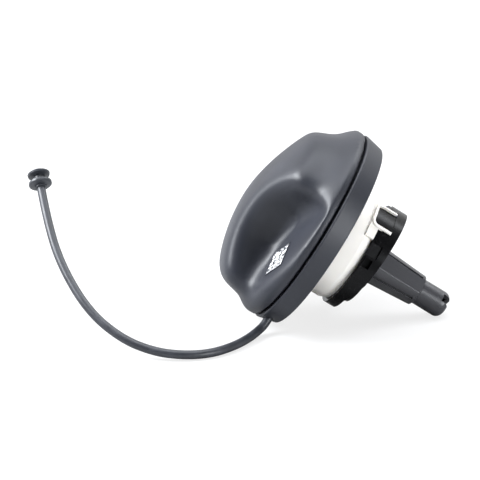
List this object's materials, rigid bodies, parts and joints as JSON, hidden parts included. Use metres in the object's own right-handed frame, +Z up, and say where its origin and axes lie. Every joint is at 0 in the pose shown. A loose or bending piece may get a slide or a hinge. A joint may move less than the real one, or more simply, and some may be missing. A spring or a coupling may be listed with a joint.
{
  "type": "fuel filler cap",
  "caption": "Bayonet fuel filler cap with a sculpted turning grip, ratchet, vent valve, long stalk and a moulded tether with a push-in plug.",
  "frame": {"origin": "bottom centre of the bounding box of the cap as it lies on its tether ring and stalk tip, without the tether cord and plug", "axes": "+Z up from the ground that the cap lies on; +X level, along the fall of the cap axis toward the stalk tip; +Y level, across the cap"},
  "size_m": [0.1608, 0.0895, 0.0721],
  "materials": {
    "grip_plastic": "satin moulded plastic, dark blue-grey",
    "acetal_natural": "smooth natural acetal, warm white",
    "acetal_dark": "smooth dark acetal",
    "bayonet_plastic": "semi-gloss black moulded plastic",
    "stalk_plastic": "semi-matte black moulded plastic",
    "tether_elastomer": "smooth dark grey elastomer",
    "seal_rubber": "matt black rubber",
    "label_film": null,
    "washer_film": "slippery white plastic film",
    "spring_steel": "drawn steel wire"
  },
  "bodies": {
    "closure": {"closure_body": "acetal_natural", "pawl_disc": "acetal_dark", "thrust_washer": "washer_film", "snap_ring": "spring_steel", "neck_seal": "seal_rubber", "bayonet_ring": "bayonet_plastic", "valve_seat": "acetal_natural", "stalk": "stalk_plastic", "stalk_tip": "stalk_plastic", "stalk_o_ring": "seal_rubber", "pressure_spring": "spring_steel"},
    "grip": {"grip_cover": "grip_plastic", "ratchet_ring": "acetal_dark", "label": "label_film"},
    "tether": {"tether_ring": "grip_plastic", "tether_cord": "tether_elastomer", "tether_plug": "tether_elastomer"},
    "relief_valve": {"pressure_plate": "acetal_dark", "plate_seal": "seal_rubber", "vacuum_spring": "spring_steel"},
    "vacuum_valve": {"vacuum_disc": "acetal_dark", "spring_cap": "acetal_dark"}
  },
  "joints": [
    {"name": "grip_turn", "type": "hinge", "parent": "closure", "child": "grip", "pos_m": [-0.00961, 0, 0.03654], "axis": [-0.8419, 0, 0.5396], "continuous": true},
    {"name": "tether_swivel", "type": "hinge", "parent": "closure", "child": "tether", "pos_m": [-0.00961, 0, 0.03654], "axis": [-0.8419, 0, 0.5396], "continuous": true},
    {"name": "pressure_relief", "type": "slide", "parent": "closure", "child": "relief_valve", "axis": [-0.8419, 0, 0.5396], "range_m": [0, 0.0015], "stiffness_N_per_m": 300, "springref_m": -0.01, "deforming": ["pressure_spring"]},
    {"name": "vacuum_relief", "type": "slide", "parent": "relief_valve", "child": "vacuum_valve", "axis": [0.8419, 0, -0.5396], "range_m": [0, 0.0012], "stiffness_N_per_m": 60, "springref_m": -0.006, "deforming": ["vacuum_spring"]}
  ]
}
